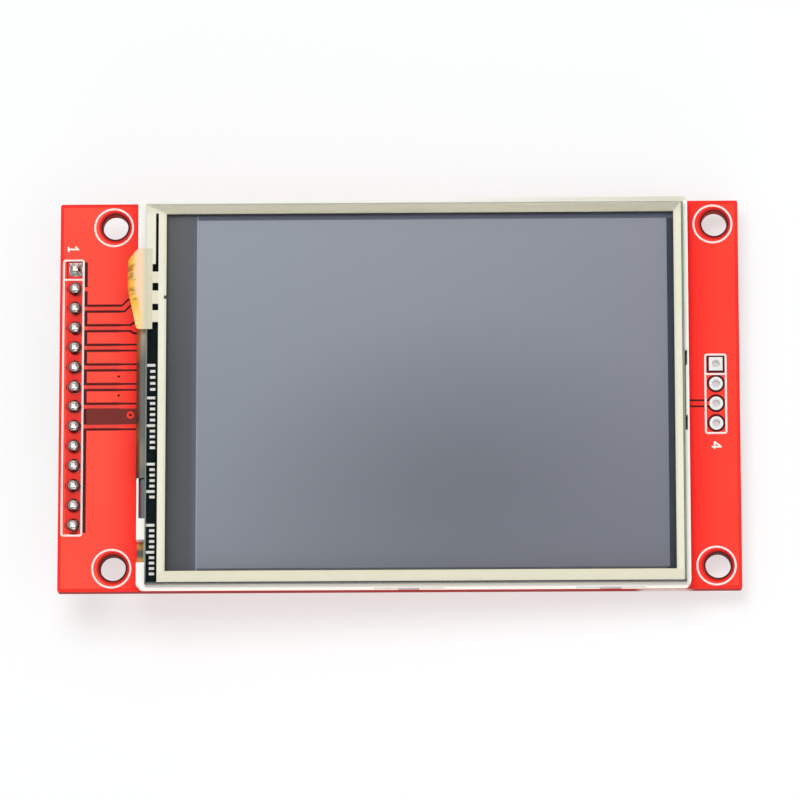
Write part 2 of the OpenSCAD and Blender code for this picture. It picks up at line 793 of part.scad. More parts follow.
// The pale printed border: three wide bars, a narrow one with fingers, and a track at the corner.
// It stops short of the glass's edge at the right and below.
module touch_border()
    color("beige") slab(z_border, border_t) {
        difference() {
            span([slot_x[1], touch_y[0] + border_inset[1]], [touch_x1 - border_inset[0], touch_y[1]]);
            span(window[0], window[1]);
        }
        for (y = fingers_y) span([finger_x0, y[0]], [slot_x[1], y[1]]);
        span([touch_x0, slot_y[1]], [slot_x[1], touch_y[1]]);
        span([touch_x0, touch_flex_y[1]], [slot_x[0], slot_y[1]]);
        span([finger_x0, finger_top_y], [slot_x[0], touch_flex_y[1]]);
    }

module touch_film() color("lightcyan", 0.4) slab(z_film, touch_film_t) touch_outline();

// The tail's outline from above: it narrows from its joint with the panel to the neck
module touch_flex_plan() {
    out_x = touch_bend_x - touch_bend_r;
    hull() {
        span([finger_x0 - 1, touch_flex_y[0]], [finger_x0, touch_flex_y[1]]);
        translate([touch_x0 - 0.85, touch_flex_y[1] - 0.5]) circle(0.5, $fn = 32);
        translate([out_x + 0.6, touch_neck_y[1] - 0.1]) circle(0.7, $fn = 32);
        translate([out_x + 0.6, touch_neck_y[0] + 0.3]) circle(0.7, $fn = 32);
        translate([touch_x0 - 0.8, touch_flex_y[0] + 0.5]) circle(0.5, $fn = 32);
    }
}

module touch_flex()
    color("orange") intersection() {
        along_y([touch_flex_y[0], touch_flex_y[1]])
            folded_strip(touch_bend_x, board_t, z_border + touch_flex_t, touch_flex_t,
                         finger_x0, touch_flex_end_x);
        union() {
            slab(board_t + touch_bend_r, 10) touch_flex_plan();
            slab(board_t, touch_bend_r)
                span([board_x0, touch_neck_y[0]], [touch_flex_end_x, touch_neck_y[1]]);
        }
    }

// --- Memory card socket --------------------------------------------------------------------

rail_w = (socket_w - 2 * shell_t - card_w) / 2;
inner_w = socket_w - 2 * shell_t;

function contact_x(i) = (i - (contact_n - 1) / 2) * contact_pitch;

// What the cover's folded section leaves free inside
module cover_inside()
    rounded_span([-inner_w / 2, -3], [inner_w / 2, base_h], cover_bend - shell_t);

// The base's floor, rear block, two rails and two locating pegs
module base_blocks() {
    slab(0, floor_t) span([-inner_w / 2, socket_y0], [inner_w / 2, socket_y0 + floor_d]);
    slab(0, base_h) span([-inner_w / 2, socket_y0], [inner_w / 2, socket_y0 + rear_block_d]);
    slab(0, base_h) for (s = [-1, 1]) translate([s * (inner_w - rail_w) / 2, 0])
        span([-rail_w / 2, socket_y0], [rail_w / 2, socket_y1 - 1.5]);
    for (s = [-1, 1]) translate([s * peg_x, socket_y0 + 2, -1.2])
        cylinder(h = 1.5, d = peg_d - 0.1, $fn = 32);
}

// The plastic body: a floor with an opening under each contact, two rails and a rear block
module socket_base()
    color("#26262a") below([socket_x, 0, 0]) difference() {
        intersection() {
            base_blocks();
            along_y([socket_y0 - 1, socket_y1]) cover_inside();
        }
        for (i = [0:contact_n - 1]) translate([contact_x(i), 0, -1]) {
            slab(0, 1 + contact_root_h) span([-contact_w / 2, socket_y0 - 1],
                                             [contact_w / 2, socket_y0 + rear_block_d]);
            slab(0, 2) span([-contact_w / 2 - 0.2, socket_y0 + rear_block_d - 0.01],
                            [contact_w / 2 + 0.2, socket_y0 + 10.6]);
        }
        // Steps in the rear block, where its core pins draw out
        for (i = [0:contact_n - 2]) translate([(contact_x(i) + contact_x(i + 1)) / 2, 0, base_h - 0.8])
            slab(0, 2) span([-0.6, socket_y0 - 1], [0.6, socket_y0 + 1.6]);
    }

// A contact's side view: a tail on the board, a root in the base and a sprung nose
module contact_section()
    stroke([
        [socket_y0 - 1.4, contact_t / 2], [socket_y0 + 0.4, contact_t / 2],
        [socket_y0 + 1.1, contact_root_h - contact_t / 2], [socket_y0 + 5, contact_root_h - contact_t / 2],
        [socket_y0 + 9, 1.05], [socket_y0 + 10.2, 0.6]
    ], contact_t);

module socket_contacts()
    color("goldenrod") below([socket_x, 0, 0])
        for (i = [0:contact_n - 1])
            along_x([contact_x(i) - contact_w / 2, contact_x(i) + contact_w / 2])
                contact_section();

// The folded steel cover, seen from its mouth
module shell_section()
    difference() {
        rounded_span([-socket_w / 2, -2], [socket_w / 2, socket_h], cover_bend);
        cover_inside();
        span([-socket_w, -4], [socket_w, 0]);
    }

// A tongue cut free on three sides, to press on the card
module tongue_slots(x, y, l, w)
    translate([x, y, socket_h - 1]) difference() {
        slab(0, 2) span([-w / 2 - 0.35, -l], [w / 2 + 0.35, 0.35]);
        slab(-1, 4) span([-w / 2, -l - 1], [w / 2, 0]);
    }

module socket_shell()
    color("silver") below([socket_x, 0, 0]) {
        difference() {
            along_y([socket_y0 + 1, socket_y1]) shell_section();
            for (x = [-7.5, 7.5]) tongue_slots(x, socket_y1 - 7, 8, 2.4);
            // Cut-away at the mouth, to take hold of the card
            slab(socket_h - 1, 2) polygon([
                [-6.5, socket_y1 + 1], [-5, socket_y1 - 2.2], [5, socket_y1 - 2.2], [6.5, socket_y1 + 1]
            ]);
            // Windows over the contacts, and round holes from the strip that the cover was cut from
            for (x = [-9, -3, 3, 9]) slab(socket_h - 1, 2)
                span([x - 1.6, socket_y0 + 6], [x + 1.6, socket_y0 + 8.4]);
            for (x = [-11.5, 11.5]) translate([x, socket_y1 - 4, socket_h - 1])
                cylinder(h = 2, r = 0.6, $fn = 32);
            // Latch windows in the side walls
            for (y = [socket_y0 + 5, socket_y1 - 8]) translate([-socket_w, y, 1.1])
                cube([2 * socket_w, 2.6, 0.8]);
        }
        // Feet that are soldered to the board
        for (s = [-1, 1], y = socket_feet_y) slab(0, shell_t)
            translate([s * (socket_w / 2 + foot_l / 2 - 0.1), y])
                square([foot_l + 0.2, foot_w], center = true);
    }

// --- Small parts on the back ---------------------------------------------------------------

// A moulded body whose sides lean in above and below its middle
module moulded_body(l, w, h) {
    draft = 0.12 * h;
    z = lead_gap;
    intersection() {
        along_y([-w, w]) polygon([
            [-l / 2 + draft, z], [l / 2 - draft, z], [l / 2, z + h / 2], [l / 2 - draft, z + h],
            [-l / 2 + draft, z + h], [-l / 2, z + h / 2]
        ]);
        along_x([-l, l]) polygon([
            [-w / 2 + draft, z], [w / 2 - draft, z], [w / 2, z + h / 2], [w / 2 - draft, z + h],
            [-w / 2 + draft, z + h], [-w / 2, z + h / 2]
        ]);
    }
}

// A gull-wing lead that leaves a body at x = root and ends on its pad at x = toe
module gull_lead(root, toe, z, w, t)
    along_y([-w / 2, w / 2]) stroke([
        [root, z], [root + 0.2, z], [root + 0.4, t / 2], [toe, t / 2]
    ], t);

// The leads of a part: each entry is [side, y]
module gull_leads(leads, root, toe, h, w, t)
    for (p = leads) mirror([p[0] < 0 ? 1 : 0, 0, 0]) translate([0, p[1], 0])
        gull_lead(root, toe, lead_gap + h / 2, w, t);

module touch_controller()
    color("#1c1c20") below(controller_at) difference() {
        moulded_body(controller_l, controller_w, controller_h);
        // Recessed mark at pin 1
        translate([-controller_l / 2 + 0.9, controller_w / 2 - 0.9, lead_gap + controller_h - 0.08])
            cylinder(h = 1, r = 0.35, $fn = 32);
    }

module touch_controller_leads()
    color("silver") below(controller_at)
        gull_leads(controller_leads, controller_l / 2, controller_toe, controller_h, 0.24, 0.15);

module regulator() color("#1c1c20") below(regulator_at) moulded_body(sot_l, sot_w, sot_h);

module regulator_leads()
    color("silver") below(regulator_at)
        gull_leads(sot_leads, sot_l / 2, sot_toe, sot_h, 0.4, 0.12);

module backlight_transistor()
    color("#1c1c20") below(transistor_at) moulded_body(sot_l, sot_w, sot_h);

module backlight_transistor_leads()
    color("silver") below(transistor_at)
        gull_leads(sot_leads, sot_l / 2, sot_toe, sot_h, 0.4, 0.12);

module chip_body(h)
    slab(0, h) square([chip_l - 2 * chip_cap, chip_w], center = true);

module resistors() color("black") for (p = resistors_at) below(p) chip_body(resistor_h);

module capacitors() color("tan") for (p = capacitors_at) below(p) chip_body(capacitor_h);

module chip_ends(h)
    for (s = [-1, 1]) slab(0, h)
        translate([s * (chip_l - chip_cap) / 2, 0]) square([chip_cap, chip_w], center = true);

module chip_terminals()
    color("silver") {
        for (p = resistors_at) below(p) chip_ends(resistor_h);
        for (p = capacitors_at) below(p) chip_ends(capacitor_h);
    }

// A wedge of solder against the end of a terminal or lead, at x
module solder_wedge(x, w, h)
    along_y([-w / 2, w / 2]) polygon([[x, 0], [x + fillet, 0], [x + 0.12, h / 2], [x, h]]);

module solder_wedges(leads, toe, w, h)
    for (p = leads) mirror([p[0] < 0 ? 1 : 0, 0, 0]) translate([0, p[1], 0])
        solder_wedge(toe, w, h);

chip_leads = [[-1, 0], [1, 0]];

module back_solder()
    color("lightgray") {
        for (p = resistors_at) below(p) solder_wedges(chip_leads, chip_l / 2, chip_w, 0.4);
        for (p = capacitors_at) below(p) solder_wedges(chip_leads, chip_l / 2, chip_w, 0.55);
        for (p = [regulator_at, transistor_at]) below(p) solder_wedges(sot_leads, sot_toe, 0.5, 0.2);
        below(controller_at) solder_wedges(controller_leads, controller_toe, 0.24, 0.15);
        below([socket_x, 0, 0]) {
            for (i = [0:contact_n - 1]) translate([contact_x(i), socket_y0 - 1.4, 0]) rotate(-90)
                solder_wedge(0, contact_w, contact_t);
            for (y = socket_feet_y) translate([0, y, 0])
                solder_wedges(chip_leads, socket_w / 2 + foot_l, foot_w, shell_t);
        }
    }

// --- Assembly ------------------------------------------------------------------------------

circuit_board();
plated_pads();
silkscreen();
header_strip();
header_pins();
header_solder();
display_tape();
rear_tray();
backlight_frame();
reflector_sheet();
light_guide();
backlight_leds();
backlight_flex();
diffuser_sheet();
lower_prism_sheet();
upper_prism_sheet();
shade_tape();
rear_polarizer();
transistor_glass();
filter_glass();
front_polarizer();
driver_chip();
ledge_sealant();
ledge_tape();
display_flex();
flex_solder();
touch_adhesive();
touch_glass();
touch_border();
touch_film();
touch_flex();
socket_base();
socket_contacts();
socket_shell();
touch_controller();
touch_controller_leads();
regulator();
regulator_leads();
backlight_transistor();
backlight_transistor_leads();
resistors();
capacitors();
chip_terminals();
back_solder();
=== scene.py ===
import math
import random

import bpy
from mathutils import Matrix, Vector


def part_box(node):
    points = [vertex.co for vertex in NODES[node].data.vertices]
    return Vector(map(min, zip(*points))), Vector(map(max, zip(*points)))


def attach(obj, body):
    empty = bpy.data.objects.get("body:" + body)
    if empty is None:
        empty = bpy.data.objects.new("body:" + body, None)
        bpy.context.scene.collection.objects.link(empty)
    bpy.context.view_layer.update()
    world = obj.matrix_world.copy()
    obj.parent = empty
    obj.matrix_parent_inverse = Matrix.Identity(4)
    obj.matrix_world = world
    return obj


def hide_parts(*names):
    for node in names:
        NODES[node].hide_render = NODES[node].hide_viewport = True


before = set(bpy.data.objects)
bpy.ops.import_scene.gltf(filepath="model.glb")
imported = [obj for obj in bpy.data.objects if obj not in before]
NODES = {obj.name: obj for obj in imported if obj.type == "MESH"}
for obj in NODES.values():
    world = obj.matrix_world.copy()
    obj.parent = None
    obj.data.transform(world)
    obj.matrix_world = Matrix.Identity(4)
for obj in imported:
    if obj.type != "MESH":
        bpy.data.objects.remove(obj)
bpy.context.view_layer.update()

MM = 0.001


def box_mm(node):
    """The lowest and highest corners of a CAD node, in millimetres."""
    low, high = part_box(node)
    return low / MM, high / MM


# --- Places taken from the frame, in millimetres -----------------------------------------------

BOARD_LOW, BOARD_HIGH = box_mm("circuit_board")
BOARD_T = BOARD_HIGH.z - BOARD_LOW.z
COPPER_T = 0.04
PAD_RISE = 0.02
PAD_TOP = BOARD_T + PAD_RISE
TAPE_TOP = box_mm("ledge_tape")[1].z
TOUCH_LOW, TOUCH_HIGH = box_mm("touch_film")
PINS_LOW, PINS_HIGH = box_mm("header_pins")

HOLE_AT = Vector((38, 22))
HOLE_R = 1.6
HEADER_COUNT = 14
PITCH = 2.54
HEADER_X = (PINS_LOW.x + PINS_HIGH.x) / 2
HEADER_Y = [(HEADER_COUNT - 1) * PITCH / 2 - i * PITCH for i in range(HEADER_COUNT)]


# --- Small node and mesh helpers ---------------------------------------------------------------

def srgb(red, green, blue):
    """A display colour, 0 to 255, as the linear colour that Blender's sockets take."""
    def channel(value):
        value /= 255
        return value / 12.92 if value <= 0.04045 else ((value + 0.055) / 1.055) ** 2.4
    return (channel(red), channel(green), channel(blue), 1)


class Surface:
    """A material on one Principled shader, with short calls for the nodes that feed it."""

    def __init__(self, name, color=(200, 200, 200), rough=0.5, metal=0.0, **values):
        self.material = bpy.data.materials.new(name)
        self.material.use_nodes = True
        self.tree = self.material.node_tree
        self.shader = self.tree.nodes["Principled BSDF"]
        self.set("Base Color", srgb(*color))
        self.set("Roughness", rough)
        self.set("Metallic", metal)
        for key, value in values.items():
            self.set(key.replace("_", " "), value)
        place = self.add("ShaderNodeTexCoord").outputs["Object"]
        scaled = self.add("ShaderNodeVectorMath", {0: place, "Scale": 1 / MM}, operation="SCALE")
        self.place = scaled.outputs[0]
        split = self.add("ShaderNodeSeparateXYZ", {0: self.place})
        self.x, self.y, self.z = split.outputs[:3]
        normal = self.add("ShaderNodeNewGeometry").outputs["True Normal"]
        facing = self.add("ShaderNodeSeparateXYZ", {0: normal})
        self.nx, self.ny, self.nz = facing.outputs[:3]

    def put(self, socket, value):
        if isinstance(value, bpy.types.NodeSocket):
            self.tree.links.new(value, socket)
        else:
            socket.default_value = value

    def set(self, name, value):
        self.put(self.shader.inputs[name], value)
        return self

    def base(self):
        """The socket that feeds the base colour."""
        return self.shader.inputs["Base Color"].links[0].from_socket

    def add(self, kind, inputs=None, **settings):
        node = self.tree.nodes.new(kind)
        for name, value in settings.items():
            setattr(node, name, value)
        for key, value in (inputs or {}).items():
            self.put(node.inputs[key], value)
        return node

    def math(self, operation, first, second=0.0, clamp=False):
        node = self.add("ShaderNodeMath", {0: first, 1: second}, operation=operation, use_clamp=clamp)
        return node.outputs[0]

    def step(self, value, edge, soft=0.02):
        """0 below the edge and 1 above it, over a short ramp."""
        return self.remap(value, edge - soft, edge + soft, 0, 1)

    def remap(self, value, low, high, out_low, out_high):
        node = self.add("ShaderNodeMapRange", {
            "Value": value, "From Min": low, "From Max": high, "To Min": out_low, "To Max": out_high})
        return node.outputs[0]

    def inside(self, value, low, high, soft=0.02):
        """1 where the value lies between two limits."""
        return self.math("MULTIPLY", self.step(value, low, soft), self.flip(self.step(value, high, soft)))

    def flip(self, value):
        return self.math("SUBTRACT", 1.0, value)

    def box(self, low, high, soft=0.02):
        """1 inside a rectangle in X and Y."""
        across = self.inside(self.x, low[0], high[0], soft)
        return self.math("MULTIPLY", across, self.inside(self.y, low[1], high[1], soft))

    def from_hole(self):
        """Distance in X and Y from the nearest mounting hole's centre."""
        across = self.math("SUBTRACT", self.math("ABSOLUTE", self.x), HOLE_AT.x)
        along = self.math("SUBTRACT", self.math("ABSOLUTE", self.y), HOLE_AT.y)
        place = self.add("ShaderNodeCombineXYZ", {0: across, 1: along}).outputs[0]
        return self.add("ShaderNodeVectorMath", {0: place}, operation="LENGTH").outputs["Value"]

    def mix_value(self, factor, first, second):
        node = self.add("ShaderNodeMix", data_type="FLOAT")
        self.put(node.inputs["Factor"], factor)
        self.put(node.inputs[2], first)
        self.put(node.inputs[3], second)
        return node.outputs[0]

    def mix(self, factor, first, second, blend="MIX"):
        node = self.add("ShaderNodeMix", data_type="RGBA", blend_type=blend)
        self.put(node.inputs["Factor"], factor)
        self.put(node.inputs[6], first)
        self.put(node.inputs[7], second)
        return node.outputs[2]

    def noise(self, scale, detail=3.0, rough=0.5, place=None, distort=0.0):
        """Noise whose scale is in cycles a millimetre."""
        node = self.add("ShaderNodeTexNoise", {
            "Vector": place or self.place, "Scale": scale, "Detail": detail, "Roughness": rough,
            "Distortion": distort})
        return node.outputs["Fac"]

    def stretched(self, x, y, z):
        """The place in millimetres, scaled differently along each axis, for drawn or rolled grain."""
        node = self.add("ShaderNodeVectorMath", {0: self.place, 1: (x, y, z)}, operation="MULTIPLY")
        return node.outputs[0]

    def bump(self, height, depth, strength=1.0):
        """A bump whose height, from 0 to 1, stands for that depth in millimetres."""
        node = self.add("ShaderNodeBump", {"Height": height, "Distance": depth * MM, "Strength": strength})
        self.set("Normal", node.outputs[0])
        return self

    def vary(self, base, scale, amount, detail=3.0):
        """Base colour with a soft darker and lighter cloud over it."""
        cloud = self.remap(self.noise(scale, detail), 0.3, 0.7, 1 - amount, 1 + amount)
        gain = self.add("ShaderNodeCombineXYZ", {0: cloud, 1: cloud, 2: cloud}).outputs[0]
        return self.mix(1.0, base, gain, "MULTIPLY")

    def vary_rough(self, low, high, scale, detail=3.0):
        return self.set("Roughness", self.remap(self.noise(scale, detail), 0.3, 0.7, low, high))


def dress(surface, *nodes):
    """Gives CAD nodes that surface, in every material slot that they have."""
    for name in nodes:
        slots = NODES[name].material_slots
        if len(slots):
            for entry in slots:
                entry.material = surface.material
        else:
            NODES[name].data.materials.append(surface.material)


# --- Camera ------------------------------------------------------------------------------------

FOCAL_PIXELS = 6000.0
IMAGE_PIXELS = 800.0
SENSOR_MM = 36.0
CAMERA_TURNS = (-11.62, -1.19, 0.33)
CAMERA_SHIFT = Vector((-0.12, 0.61, 0.0))
CAMERA_DISTANCE = 757.7
FIT_ORIGIN = Vector((-2.0, 0.0, BOARD_T))


def make_camera():
    """A long lens that looks at the screen from a little below its normal."""
    rx, ry, rz = (math.radians(a) for a in CAMERA_TURNS)
    turn = Matrix.Rotation(rz, 3, "Z") @ Matrix.Rotation(ry, 3, "Y") @ Matrix.Rotation(rx, 3, "X")
    place = turn.transposed() @ (Vector((0, 0, CAMERA_DISTANCE)) - CAMERA_SHIFT) + FIT_ORIGIN
    data = bpy.data.cameras.new("camera")
    data.sensor_width = SENSOR_MM
    data.lens = FOCAL_PIXELS / IMAGE_PIXELS * SENSOR_MM
    data.clip_start = 0.01
    data.clip_end = 10
    camera = bpy.data.objects.new("camera", data)
    camera.matrix_world = Matrix.Translation(place * MM) @ turn.transposed().to_4x4()
    bpy.context.scene.collection.objects.link(camera)
    bpy.context.scene.camera = camera


make_camera()


# --- Surfaces of the circuit board -------------------------------------------------------------

KEEPOUT_LOW = (HEADER_X - 1.05, HEADER_Y[-1] - 0.95)
KEEPOUT_HIGH = (HEADER_X + 1.1, HEADER_Y[0] + 0.95)
BAND_LOW = (HEADER_X + 1.5, HEADER_Y[8])
BAND_HIGH = (-30.0, HEADER_Y[7])
COPPER_INSET = 0.4
CUT_INSET = 0.1
LIP_H = 0.12
HIGHLIGHT_FADE_X = (39.8, 34.8)
PALE_EDGE_X = (28.2, 34.4)
TRACES_X = (HEADER_X + 1.4, -37.3)
TRACES_Y = (HEADER_Y[8] - 0.6, HEADER_Y[2] + 0.6)
TRACE_HALF = 0.35
TRACE_EDGE_BAND = (0.2, 0.57)


def inset_box(s, inset):
    """1 inside the board's outline, drawn in by that distance."""
    return s.box((BOARD_LOW.x + inset, BOARD_LOW.y + inset), (BOARD_HIGH.x - inset, BOARD_HIGH.y - inset))


def copper_color(s):
    """Over copper: bright red with a painted highlight that fades to deeper red toward the display, and dark
    beside a trace, where the lacquer thins and painted shade falls at the trace's edge.
    """
    # Painted highlight: the lacquer is lighter toward the board's ends and deeper red toward the display.
    lean = s.math("POWER", s.remap(s.math("ABSOLUTE", s.x), *HIGHLIGHT_FADE_X, 0, 1), 1.8)
    lacquer = s.mix(s.step(s.x, 0), srgb(250, 78, 62), srgb(250, 64, 50))
    copper = s.vary(s.mix(lean, lacquer, srgb(252, 38, 32)), 0.12, 0.03)
    from_row = s.math("PINGPONG", s.math("SUBTRACT", s.y, HEADER_Y[0]), PITCH / 2)
    straight = s.math("MULTIPLY", s.inside(s.x, *TRACES_X, 0.35), s.inside(s.y, *TRACES_Y, 0.1))
    trace = s.flip(s.step(from_row, TRACE_HALF, 0.03))
    copper = s.mix(s.math("MULTIPLY", straight, trace), copper, srgb(234, 70, 60))
    # Darker lacquer beside each trace, partly real and partly painted shade at the trace's edge.
    edge_lacquer_and_shade = s.math("MULTIPLY", straight, s.inside(from_row, *TRACE_EDGE_BAND, 0.03))
    return s.mix(s.math("MULTIPLY", edge_lacquer_and_shade, 0.8), copper, srgb(132, 24, 22))


def bare_color(s):
    """Over bare laminate: dark in the gaps, and red at the board's rim, the holes and the header."""
    line = s.vary(srgb(72, 8, 8), 0.4, 0.08)
    bare = s.mix(inset_box(s, COPPER_INSET), srgb(240, 46, 38), line)
    collar = s.inside(s.from_hole(), HOLE_R + 0.22, HOLE_R + 0.7, 0.06)
    bare = s.mix(collar, bare, s.vary(srgb(206, 28, 22), 0.5, 0.06))
    bare = s.mix(s.box(KEEPOUT_LOW, KEEPOUT_HIGH), bare, s.vary(srgb(240, 54, 46), 0.5, 0.08))
    weave = s.noise(5.0, 2.0, place=s.stretched(1, 0.3, 1))
    return s.mix(s.box(BAND_LOW, BAND_HIGH), bare, s.mix(weave, srgb(100, 32, 28), srgb(128, 46, 40)))


def cut_color(s):
    """On cut faces: plies round the outline, brown walls in the holes, painted lighter in the upper holes and
    darker in the lower ones, and red lips.
    """
    plies = s.noise(4.0, 2.0, place=s.stretched(0.1, 0.1, 6))
    edge = s.mix(plies, srgb(158, 40, 34), srgb(196, 84, 58))
    # Painted light and shade: the hole walls are lighter in the upper holes and darker in the lower ones.
    lit_or_shaded_wall = s.mix(s.step(s.y, 0), srgb(88, 42, 34), srgb(164, 52, 30))
    edge = s.mix(inset_box(s, CUT_INSET), edge, s.vary(lit_or_shaded_wall, 1.2, 0.2))
    lips = s.math("ADD", s.step(s.z, BOARD_T - LIP_H, 0.06), s.flip(s.step(s.z, LIP_H, 0.06)))
    edge = s.mix(lips, edge, srgb(206, 34, 28))
    lower = s.flip(s.step(s.y, BOARD_LOW.y + CUT_INSET))
    edge = s.mix(s.math("MULTIPLY", lower, 0.75), edge, srgb(134, 18, 20))
    pale = s.math("MULTIPLY", s.inside(s.x, *PALE_EDGE_X, 0.6), lower)
    return s.mix(s.math("MULTIPLY", pale, 0.85), edge, srgb(214, 200, 194))


def board_surface():
    """Red lacquer over copper and bare laminate, and the board's cut faces."""
    s = Surface("red_lacquer", rough=0.36, Coat_Weight=0.05, Coat_Roughness=0.2, Specular_IOR_Level=0.18)
    front = s.step(s.z, BOARD_T - COPPER_T / 2, 0.005)
    back = s.flip(s.step(s.z, COPPER_T / 2, 0.005))
    raised = s.math("MAXIMUM", front, back)
    flat = s.step(s.math("ABSOLUTE", s.nz), 0.5)
    face = s.mix(raised, bare_color(s), copper_color(s))
    s.set("Base Color", s.mix(flat, cut_color(s), face))
    gloss = s.remap(s.noise(1.5), 0.3, 0.7, 0.32, 0.42)
    s.set("Roughness", s.mix_value(flat, 0.85, gloss))
    s.bump(s.noise(3.0, 2.0), 0.002)
    return s


def tin_surface():
    s = Surface("tinned_pad", (232, 232, 230), 0.35, 0.9)
    s.set("Base Color", s.vary(srgb(232, 232, 230), 2.5, 0.06))
    s.vary_rough(0.26, 0.46, 3.0)
    s.bump(s.noise(6.0), 0.008)
    return s


def ink_surface(name="white_ink", color=(248, 230, 227)):
    s = Surface(name, color, 0.6)
    s.set("Base Color", s.vary(srgb(*color), 3.0, 0.04))
    s.bump(s.noise(14.0, 2.0), 0.006)
    return s


HIGHLIGHT_FACING = (-0.07, 0.27, 0.96)
HIGHLIGHT_FROM = 0.957


def solder_surface(name, low, high):
    """A painted highlight where it faces the light, grey round that, and spent flux with painted shade down its
    sides.
    """
    s = Surface(name, high, 0.24, 1.0)
    # The low colour is the sides' painted shade, mottled by spent flux; steep sides take it.
    flux_and_shade = s.mix(s.step(s.noise(1.4, 3.0), 0.5, 0.14), srgb(*low), srgb(92, 82, 80))
    middle = s.mix(s.step(s.nz, 0.5, 0.25), flux_and_shade, s.vary(srgb(152, 145, 143), 1.6, 0.2))
    top = s.vary(srgb(*high), 2.2, 0.08)
    # Painted highlight in the high colour where the smooth normal faces the light.
    facing = s.add("ShaderNodeNewGeometry").outputs["Normal"]
    lit = s.add("ShaderNodeVectorMath", {0: facing, 1: HIGHLIGHT_FACING}, operation="DOT_PRODUCT")
    s.set("Base Color", s.mix(s.step(lit.outputs["Value"], HIGHLIGHT_FROM, 0.035), middle, top))
    s.vary_rough(0.16, 0.34, 2.6)
    s.bump(s.noise(3.2, 3.0), 0.012)
    return s


DARK_SPOT_AT = Vector((HEADER_X + 0.42, HEADER_Y[0] - 0.08, 0))
DARK_SPOT_R = 0.24


def joint_surface():
    """Solder of the header's joints, with a dark brown spot beside the first pin."""
    s = solder_surface("joint_solder", (58, 40, 38), (240, 238, 236))
    place = s.add("ShaderNodeVectorMath", {0: s.place, 1: (1, 1, 0)}, operation="MULTIPLY").outputs[0]
    gap = s.add("ShaderNodeVectorMath", {0: place, 1: DARK_SPOT_AT}, operation="DISTANCE").outputs["Value"]
    s.set("Base Color", s.mix(s.step(gap, DARK_SPOT_R, 0.08), srgb(104, 34, 26), s.base()))
    return s


def gilt_surface(name, color, tinned_above=None):
    """Gold plating, tinned above a height where the solder has wetted it."""
    s = Surface(name, color, 0.24, 1.0)
    gold = s.vary(srgb(*color), 1.8, 0.08)
    if tinned_above is not None:
        gold = s.mix(s.step(s.z, tinned_above, 0.1), gold, srgb(244, 244, 242))
    s.set("Base Color", gold)
    s.bump(s.noise(8.0, 2.0, place=s.stretched(1, 1, 0.15)), 0.004)
    return s


def plated_surface(name, color, rough):
    """Dull bright metal, such as tin-plated leads or a rolled cover."""
    s = Surface(name, color, rough, 1.0)
    s.set("Base Color", s.vary(srgb(*color), 0.8, 0.06))
    grain = s.noise(3.0, 4.0, place=s.stretched(0.12, 2.4, 1))
    s.set("Roughness", s.remap(grain, 0.3, 0.7, rough - 0.07, rough + 0.09))
    s.bump(grain, 0.004)
    return s


def moulded_surface(name, color, rough, grain=7.0, depth=0.006, amount=0.04):
    """Moulded plastic or ceramic: a soft cloud of colour and a fine even grain."""
    s = Surface(name, color, rough)
    s.set("Base Color", s.vary(srgb(*color), 0.35, amount))
    s.vary_rough(rough - 0.07, rough + 0.07, 1.3)
    s.bump(s.noise(grain, 2.0), depth)
    return s


def clear_surface(name, face, face_alpha, edge, edge_alpha, rough):
    """A clear sheet whose cut edges show the depth of its own colour."""
    s = Surface(name, face, rough)
    side = s.flip(s.step(s.math("ABSOLUTE", s.nz), 0.5))
    s.set("Base Color", s.mix(side, srgb(*face), s.vary(srgb(*edge), 0.25, 0.12)))
    s.set("Alpha", s.mix_value(side, face_alpha, edge_alpha))
    s.vary_rough(rough * 0.8, rough * 1.3, 0.4)
    return s


GROUND_W = 0.24
GROUND_LEFT_W = 0.14
GROUND_ABOVE_W = 0.1


def ground_glass_surface():
    """The touch panel's glass, with a ground strip along each edge of its face: narrow and pale at the left and
    top, and wider at the right and bottom, where the dark along the bottom is painted shade.
    """
    s = clear_surface("touch_glass", (40, 46, 44), 0.012, (72, 92, 84), 0.95, 0.06)
    color = s.base()
    alpha = s.shader.inputs["Alpha"].links[0].from_socket
    narrow = s.flip(s.box((TOUCH_LOW.x + GROUND_LEFT_W, TOUCH_LOW.y - 1),
                          (TOUCH_HIGH.x + 1, TOUCH_HIGH.y - GROUND_ABOVE_W), 0.04))
    wide = s.flip(s.box((TOUCH_LOW.x - 1, TOUCH_LOW.y + GROUND_W),
                        (TOUCH_HIGH.x - GROUND_W, TOUCH_HIGH.y + 1), 0.05))
    below = s.flip(s.step(s.y, TOUCH_LOW.y + GROUND_W, 0.05))
    color = s.mix(narrow, color, srgb(150, 160, 152))
    # Painted shade: the dark navy strip along the bottom stands for shade under the panel's edge; the right
    # strip is green ground glass.
    edge_ground_and_shade = s.mix(below, srgb(140, 158, 132), srgb(62, 64, 72))
    color = s.mix(wide, color, s.vary(edge_ground_and_shade, 0.25, 0.15))
    alpha = s.mix_value(narrow, alpha, 0.68)
    s.set("Base Color", color)
    return s.set("Alpha", s.mix_value(wide, alpha, 0.92))


# --- Surfaces of the display -------------------------------------------------------------------

LIT_LOW = Vector((-27.5, -22.54))
LIT_HIGH = Vector((31.9, 22.19))
WINDOW_LOW = Vector((TOUCH_LOW.x + 2.55, -23))
WINDOW_HIGH = Vector((TOUCH_HIGH.x - 1.25, 22.85))
# Painted reflection: where the touch film covers the dark bands, a veil lightens them toward the top.
VEIL_REFLECTION_Y = (2, 22)
VEIL_REFLECTION_COLOR = srgb(112, 114, 118)

FRAME_RIM_X = (6, 32)
FRAME_RIM_Y = 24.4
FRAME_LIT_FRONT_Y = 24.5
RECESS_SHADE_Y = (24.65, 24.85)


